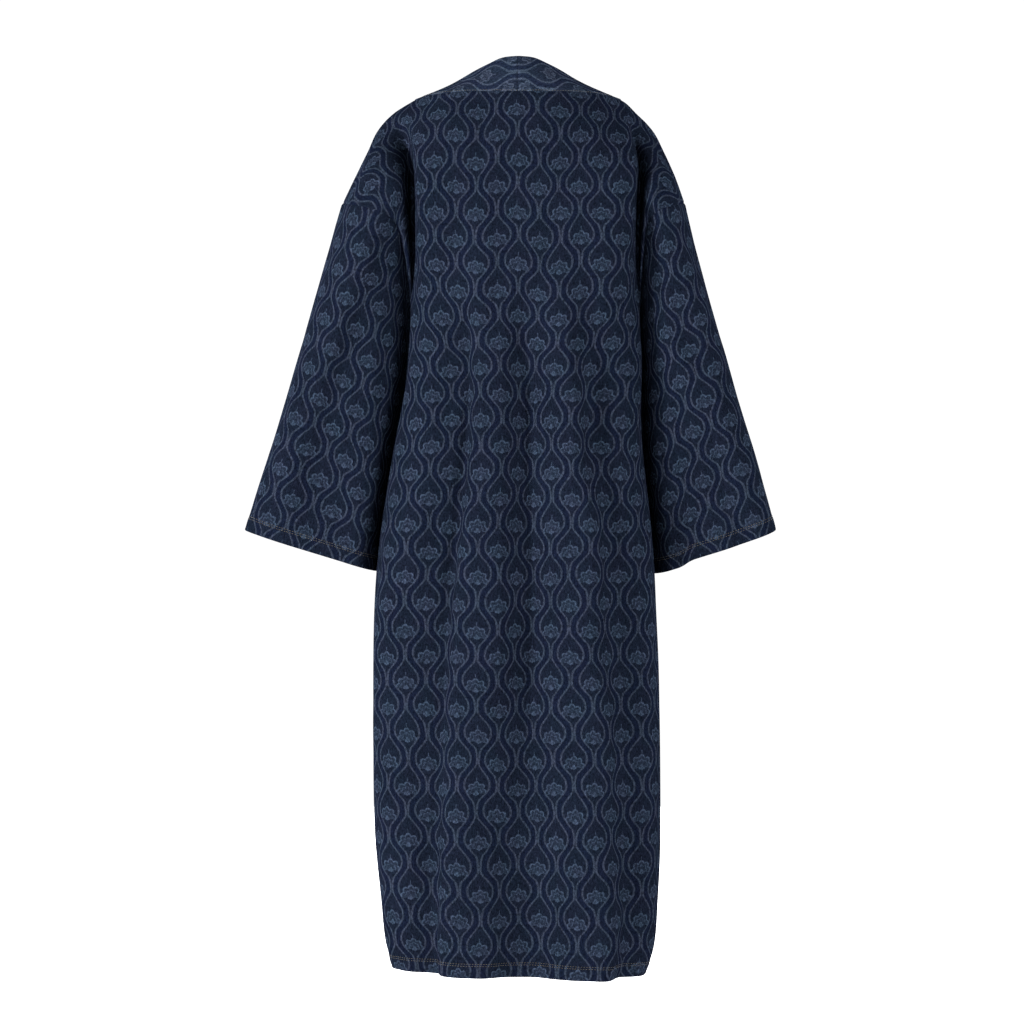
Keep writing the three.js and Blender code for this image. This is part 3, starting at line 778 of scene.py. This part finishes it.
# ---- The sleeves ----
# Wide tubes of the same denim, sewn to the dropped armholes. Their seam runs under the arm,
# and their wrist ends are turned in and sewn twice.
CUFF_OUTER, CUFF_INNER = np.array([376, -8, -581.0]), np.array([190, -12, -637.0])
CUFF_DEPTH, CUFF_SAG = 51, {1: 3, -1: 7}
SLEEVE_CLEAR, UNDERARM_STEP = {1: 3.2, -1: 5}, {1: 2, -1: 3.2}
SLEEVE_TUCK, SLEEVE_FORWARD, SLEEVE_FULL, SLEEVE_POWER = 2, 46, 7, 3.2
# Folds of the sleeves: side, back or front, place round the sleeve above and below
# (0 under the arm, 1 on top), depth, half width, and where the fold is deepest.
SLEEVE_FOLDS = (
    (1, 1, 0.62, 0.5, 8, 0.09, 0.5),
    (1, -1, 0.6, 0.46, 9, 0.1, 0.55),
    (-1, 1, 0.72, 0.62, 12, 0.08, 0.4),
    (-1, -1, 0.55, 0.45, 9, 0.1, 0.5),
)
SLEEVE_CREASES = {
    1: (
        (262, -160, 300, -330, 1.5, 9),
        (215, -190, 250, -420, 1.4, 10),
        (300, -300, 345, -520, 1.2, 12),
    ),
    -1: (
        (-250, -170, -280, -340, 1.6, 9),
        (-214, -220, -236, -430, 1.4, 10),
        (-290, -330, -326, -540, 1.2, 12),
    ),
}


def cuff_points(side, face, round_share):
    angle = math.pi * (1 - round_share)
    centre = (CUFF_OUTER + CUFF_INNER) / 2
    power = 2 / SLEEVE_POWER
    across = np.sign(np.cos(angle)) * np.abs(np.cos(angle)) ** power
    points = centre + (CUFF_OUTER - centre) * across[:, None]
    points[:, 1] += face * CUFF_DEPTH * np.abs(np.sin(angle)) ** power
    points[:, 2] -= CUFF_SAG[side] * np.sin(math.pi * round_share**0.55)
    return points


def sleeve_points(side, face, seam, round_share, w):
    """Points of half a sleeve: w is 0 at the armhole and 1 at the wrist."""
    start = seam * (side, 1, 1)
    near_seam = np.exp(-w[:, None] / 0.012)
    plain = start + (cuff_points(side, face, round_share) - start) * w[:, None, None]
    w = w[:, None]
    inner = 1 - smooth(0, 0.45, round_share)[None, :]
    turned = 1 - smooth(0, 0.3, round_share)[None, :]
    spring = 1 - near_seam
    swung = 1 - np.exp(-((w / 0.26) ** 2))
    clear = (SLEEVE_CLEAR[side] * spring * (1 - 0.4 * w) - SLEEVE_TUCK * swung) * inner
    underarm = np.exp(-((round_share / 0.02) ** 2))[None, :]
    clear = clear + UNDERARM_STEP[side] * near_seam * underarm
    forward = SLEEVE_FORWARD * swung * turned
    full = SLEEVE_FULL * np.sin(math.pi * w) * np.ones_like(inner)
    for fold_side, fold_face, above, below, depth, width, deepest in SLEEVE_FOLDS:
        if (fold_side, fold_face) == (side, face):
            off = (round_share[None, :] - (above + (below - above) * w)) / width
            fade = smooth(0, deepest, w) * (1 - 0.5 * smooth(deepest, 1, w))
            full = full - depth * np.exp(-(off**2)) * fade
    out = face * full * np.sin(math.pi * round_share)[None, :] ** 2
    x, y, z = np.moveaxis(plain, -1, 0)
    return np.stack([side * (x + clear), y + out - forward, z], -1)


def sleeve_core(points):
    return points.mean(axis=1, keepdims=True) + 0 * points


ARMHOLE_RUN, SLEEVE_RUN = 282, 475  # lengths over the cloth, for the grid's steps
ARMHOLE_LEVELS = CHEST + (SHOULDER - CHEST) * steps(ARMHOLE_RUN, 52)
DOWN_SLEEVE = np.sort(1 - steps(SLEEVE_RUN, 92, near=HEM_STEPS))
sleeves, sleeve_grids = {}, {}
for word, side in (("left", 1), ("right", -1)):
    halves = []
    for face in (1, -1):
        seam = hanging_points(face, side, np.ones(1), ARMHOLE_LEVELS)[:, 0]
        share = run(seam, 0)
        share = share / share[-1]
        halves.append(sleeve_points(side, face, seam, share, DOWN_SLEEVE))
    points = np.concatenate([halves[0], halves[1][:, -2::-1]], axis=1)
    points[:, -1] = points[:, 0]
    points = settle(points)
    top = halves[0].shape[1] - 1
    round_it, down = run(points, 1), run(points, 0)
    from_wrist = down[-1] - down
    cut = np.stack([round_it[:, top : top + 1] - round_it, from_wrist], -1) * (side, 1)
    relief = waves(cut[..., 0], cut[..., 1], 30 + side) * 0.8 * smooth(5, 70, down)
    back_half = np.arange(points.shape[1])[None, :] <= top
    relief = relief + creases(points, SLEEVE_CREASES[side]) * np.where(back_half, 1, 0.6)
    relief = relief + hem_relief(cut[..., 0], from_wrist, 40 + side) + seam_dip(down)
    under = np.minimum(round_it, round_it[:, -1:] - round_it)
    relief = relief + seam_dip(under, 0.6)
    relief = relief * smooth(0, 1.2, under + down)
    core = sleeve_core(points)
    shaped = finished(points, core, relief)
    shaped[:, 0] = shaped[:, -1] = (shaped[:, 0] + shaped[:, -1]) / 2
    sleeves[word] = cloth_piece(
        f"sleeve_tube_{word}", shaped, cut, core, f"sleeve_{word}",
        FOLDED, edge_weights(from_wrist), (denim, reverse), closed=True,
    )
    sleeve_grids[word] = (shaped, from_wrist)

# ---- The collar ----
# A straight band folded double and sewn on round the neck and down both fronts to the hem.
# It is cut along the cloth, so its figure lies sideways, and it is joined at the centre back.
BAND = 3.0  # both its layers
# From the collar seam to the band's free edge: place along the band (0 at the centre back,
# 1 at the shoulder, 2 at the hem), then the way across it.
BAND_ACROSS = np.array(
    [
        (0, 0, -21, 51),
        (0.15, -4, -27, 49),
        (0.3, -10, -33, 41),
        (0.55, -20, -42, 26),
        (0.8, -33, -38, 17),
        (1, -51, -15, 12),
        (1.1, -51, -18, 8),
        (1.25, -53, -14, 5),
        (1.4, -55, -10, 3),
        (1.6, -56, -6, 0),
        (2, -57, -3, 0),
    ],
    float,
)
BAND_WIDTH = 57
BAND_CROWN = 2.5  # it rounds out this much between its edges
BAND_EDGE = 1.6  # its free edge and its end are rounded over this distance
# The collar's denim is a paler copy of the body's: painted light, standing in for the light from
# above that falls on the band's upturned crown.
COLLAR_BAND_LIT = (0.0047, 0.0070, 0.0148, 1)
COLLAR_CELL_LIT = (0.0058, 0.0086, 0.0158, 1)
COLLAR_LINE_LIT = (0.0205, 0.0272, 0.0420, 1)
collar_denim = figured_denim("collar_denim", COLLAR_BAND_LIT, COLLAR_CELL_LIT, COLLAR_LINE_LIT, COLLAR_LINE_LIT)

ACROSS_BAND = steps(BAND_WIDTH, 12, far=np.array([0, 0.25, 0.7, 1.4, 2.4, 4]))


def band_core(points):
    return centre_line(points) - (0, 4, 0)


collars, collar_points = {}, {}
for word, side in (("left", 1), ("right", -1)):
    shares = CORNER * np.linspace(0, 1, 40)
    neck = hanging_points(1, side, shares, np.array([float(SHOULDER)]))[0]
    levels = LEVELS[:-1][::-1]
    down = hanging_points(-1, side, np.zeros(1), levels)[:, 0]
    seam = np.concatenate([neck, down])
    at = np.concatenate([shares / CORNER, 1 + (SHOULDER - levels) / (SHOULDER - HEM)])
    over = curve(BAND_ACROSS[:, 0], BAND_ACROSS[:, 1:], at) * (side, 1, 1)
    k = ACROSS_BAND[None, :]
    crown = BAND_CROWN * 4 * k * (1 - k)
    behind = (at < 0.9)[:, None]
    points = seam[:, None, :] + over[:, None, :] * k[..., None]
    points[..., 1] += np.where(behind, crown, -crown)
    points[..., 2] += np.where(behind, 0.3 * crown, 0)
    points = settle(points)
    length, width = run(points, 0), run(points, 1)
    down_band = length.mean(axis=1, keepdims=True) + 0 * width
    cut = np.stack([(width - BAND_WIDTH / 2) * side, -down_band], -1)
    weights = rounding(width[:, -1:] - width, BAND_EDGE, 0.15)
    weights = weights * rounding(length[-1:] - length, BAND_EDGE, 0.15)
    relief = waves(width, length, 50 + side) * 0.35 * smooth(0, 60, length)
    relief = relief + seam_dip(width, 1.0, 2.4) + seam_dip(length, 0.5, 1.6)
    core = band_core(points)
    shaped = finished(points, core, relief)
    collars[word] = cloth_piece(
        f"collar_band_{word}", shaped, cut, core, f"collar_{word}", BAND,
        weights, (collar_denim, collar_denim),
    )
    collar_points[word] = shaped

# ---- The stitching ----
# Thick tan thread: two rows round the hems and wrists, and one row beside the collar seam.
STITCH, PITCH = 2.9, 3.8  # a stitch's length, and from one to the next
THREAD_HALF = (0.32, 0.22)  # half its width and half its height
THREAD_CLEAR = 0.05  # its middle lies this far off the cloth
HEM_ROWS = (17.2, 20.6)  # heights above the hem
SEAM_ROW = 1.6  # distance from the collar seam
THREAD_DARK = (0.022, 0.019, 0.014, 1)
THREAD_LIGHT = (0.056, 0.048, 0.035, 1)
thread, thread_tree, fibre = new_material("tan_thread")
place = thread_tree.nodes.new("ShaderNodeTexCoord")
twist = ramp(thread_tree, noise(thread_tree, place.outputs["Object"], 2200.0, 2.0), 0.3, 0.7)
shade = blend_colour(thread_tree, twist, THREAD_DARK, THREAD_LIGHT)
thread_tree.links.new(shade, fibre.inputs["Base Color"])
fibre.inputs["Roughness"].default_value = 0.7
fibre.inputs["Specular IOR Level"].default_value = 0.2

bm = bmesh.new()
bmesh.ops.create_icosphere(bm, subdivisions=1, radius=1)
bm.verts.ensure_lookup_table()
STITCH_POINTS = np.array([v.co[:] for v in bm.verts])
STITCH_FACES = np.array([[v.index for v in f.verts] for f in bm.faces])
bm.free()


def stitch_row(line, normals):
    """Places and directions of the stitches along a line on the cloth."""
    length = run(line[None], 1)[0]
    middles = np.arange(PITCH / 2, length[-1] - PITCH / 2, PITCH)

    def read(values, at):
        return np.stack([np.interp(at, length, values[:, i]) for i in range(3)], -1)

    centre = read(line, middles)
    ahead = read(line, middles + 1) - read(line, middles - 1)
    ahead /= np.linalg.norm(ahead, axis=-1, keepdims=True)
    up = read(normals, middles)
    up -= ahead * (up * ahead).sum(-1, keepdims=True)
    up /= np.linalg.norm(up, axis=-1, keepdims=True)
    return centre, ahead, up


def stitching(name, rows):
    """One mesh of all the stitches of some rows, each a line and its normals."""
    verts, faces = [], []
    for line, normals in rows:
        centre, ahead, up = stitch_row(line, normals)
        side = np.cross(up, ahead)
        shape = STITCH_POINTS * (STITCH / 2, THREAD_HALF[0], THREAD_HALF[1])
        axes = np.stack([ahead, side, up], 1)
        placed = centre[:, None, :] + np.einsum("pi,sij->spj", shape, axes)
        start = sum(len(v) for v in verts)
        verts.append(placed.reshape(-1, 3))
        offsets = start + np.arange(len(centre)) * len(STITCH_POINTS)
        faces.append((offsets[:, None, None] + STITCH_FACES[None]).reshape(-1, 3))
    mesh = bpy.data.meshes.new(name)
    mesh.from_pydata((np.concatenate(verts) * MM).tolist(), [], np.concatenate(faces).tolist())
    mesh.polygons.foreach_set("use_smooth", np.ones(len(mesh.polygons), bool))
    mesh.materials.append(thread)
    piece = bpy.data.objects.new(name, mesh)
    bpy.context.collection.objects.link(piece)
    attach(piece, "root")
    return piece


def row_at(points, core, distance, height, thickness):
    """A line over the outer face of the cloth at a height above its edge."""
    normals = outward(points, core)
    lines = np.empty((2, points.shape[1], 3))
    for j in range(points.shape[1]):
        order = np.argsort(distance[:, j])
        for line, grid in zip(lines, (points, normals)):
            for i in range(3):
                line[j, i] = np.interp(height, distance[order, j], grid[order, j, i])
    return lines[0] + lines[1] * (thickness / 2 + THREAD_CLEAR), lines[1]


def hem_stitching(name, points, core, up):
    """The two rows of stitches along a turned-up hem."""
    rows = [row_at(points, core, up, height, FOLDED) for height in HEM_ROWS]
    return stitching(name, rows)


up, core = run(back_points, 0), centre_line(back_points)
back_stitches = hem_stitching("back_hem_stitches", back_points, core, up)
front_stitches, wrist_stitches, collar_stitches = {}, {}, {}
for word in ("left", "right"):
    grid = front_points[word]
    up, core = run(grid, 0), centre_line(grid)
    front_stitches[word] = hem_stitching(f"front_hem_stitches_{word}", grid, core, up)
    grid, from_wrist = sleeve_grids[word]
    core = sleeve_core(grid)
    wrist_stitches[word] = hem_stitching(f"wrist_stitches_{word}", grid, core, from_wrist)
    grid = collar_points[word].transpose(1, 0, 2)
    row = row_at(grid, band_core(grid), run(grid, 0), SEAM_ROW, BAND)
    collar_stitches[word] = stitching(f"collar_stitches_{word}", [row])
